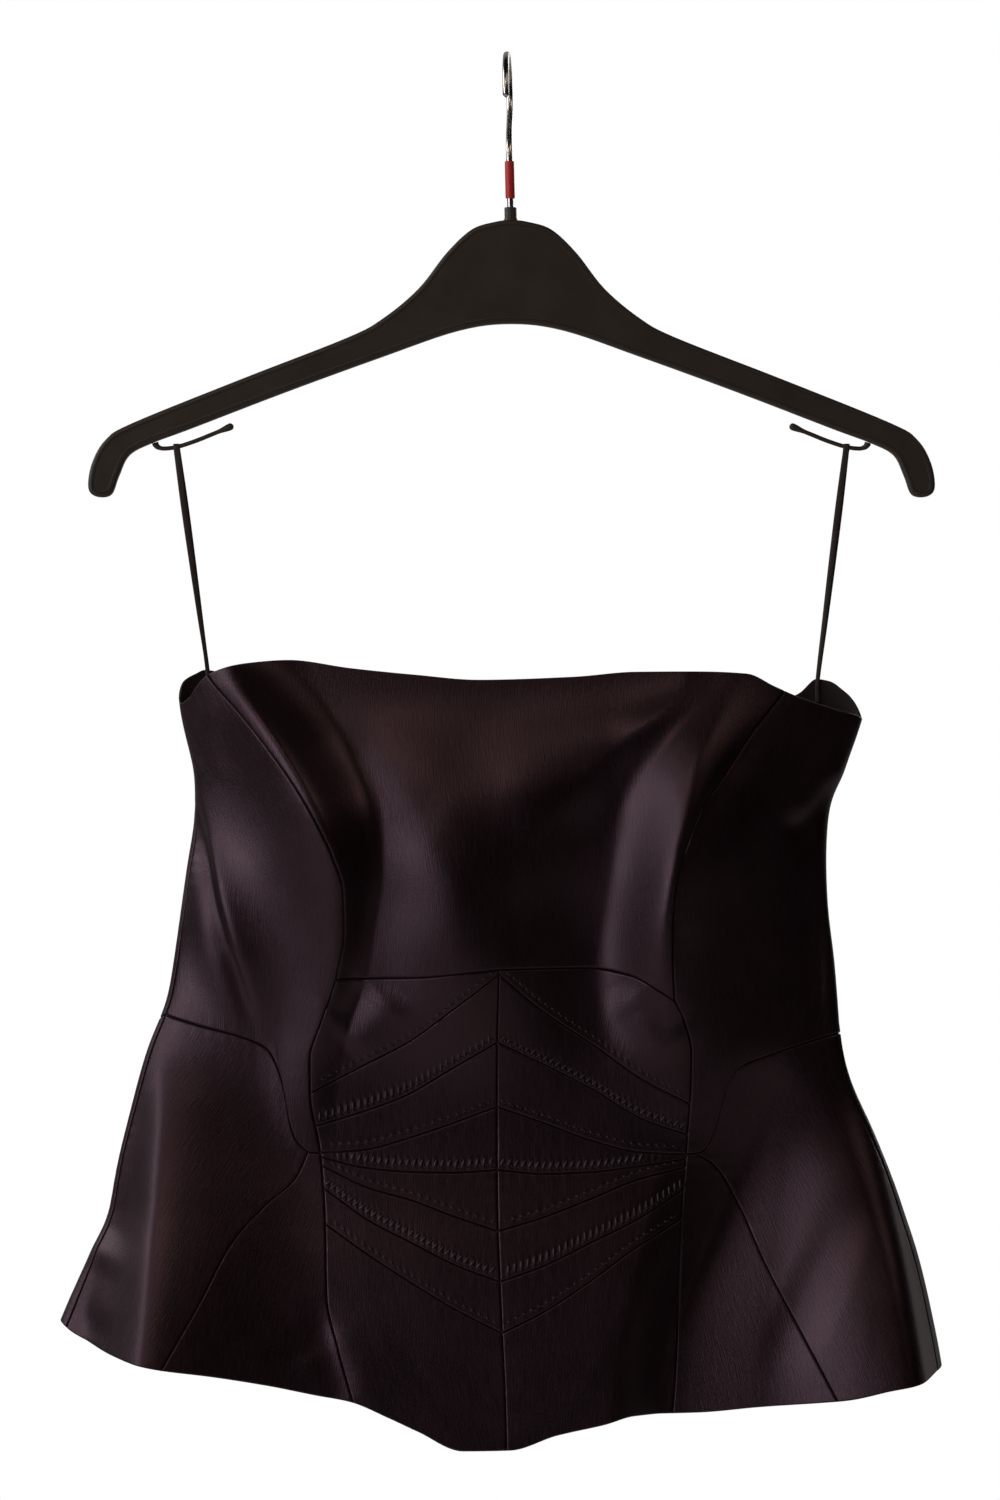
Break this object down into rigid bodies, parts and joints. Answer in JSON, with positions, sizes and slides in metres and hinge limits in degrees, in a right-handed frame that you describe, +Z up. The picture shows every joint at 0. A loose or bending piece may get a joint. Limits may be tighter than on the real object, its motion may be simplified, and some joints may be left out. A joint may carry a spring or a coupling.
{
  "type": "corset top on a hanger",
  "caption": "Strapless satin corset top with a fan of curved front seams and a short flared peplum, hung by ribbon loops from a plastic hanger.",
  "frame": {"origin": "inner top of the hook, where a rail carries the hanger", "axes": "+X across the garment, to the right as the front is seen; +Y from the front to the back; +Z up"},
  "size_m": [0.4487, 0.0976, 0.708],
  "materials": {
    "satin": "dark aubergine brown satin with a soft sheen",
    "ribbon_satin": "narrow dark satin ribbon",
    "hanger_plastic": "black moulded plastic, satin gloss",
    "chrome": "polished wire",
    "red_plastic": "red plastic sleeve"
  },
  "bodies": {
    "root": {"bodice_front": "satin", "side_front_left": "satin", "side_front_right": "satin", "back_bodice_left": "satin", "back_bodice_right": "satin", "back_peplum_left": "satin", "back_peplum_right": "satin", "peplum_outer_left": "satin", "peplum_outer_right": "satin", "peplum_inner_left": "satin", "peplum_inner_right": "satin", "front_band_1_left": "satin", "front_band_1_right": "satin", "front_band_2_left": "satin", "front_band_2_right": "satin", "front_band_3_left": "satin", "front_band_3_right": "satin", "front_band_4_left": "satin", "front_band_4_right": "satin", "front_band_5_left": "satin", "front_band_5_right": "satin", "front_band_6_left": "satin", "front_band_6_right": "satin", "front_band_7_left": "satin", "front_band_7_right": "satin", "front_band_8_left": "satin", "front_band_8_right": "satin", "loop_left": "ribbon_satin", "loop_right": "ribbon_satin", "hanger_body": "hanger_plastic", "strap_finger_left": "hanger_plastic", "strap_finger_right": "hanger_plastic", "hook_wire": "chrome", "hook_sleeve": "red_plastic"}
  },
  "joints": []
}
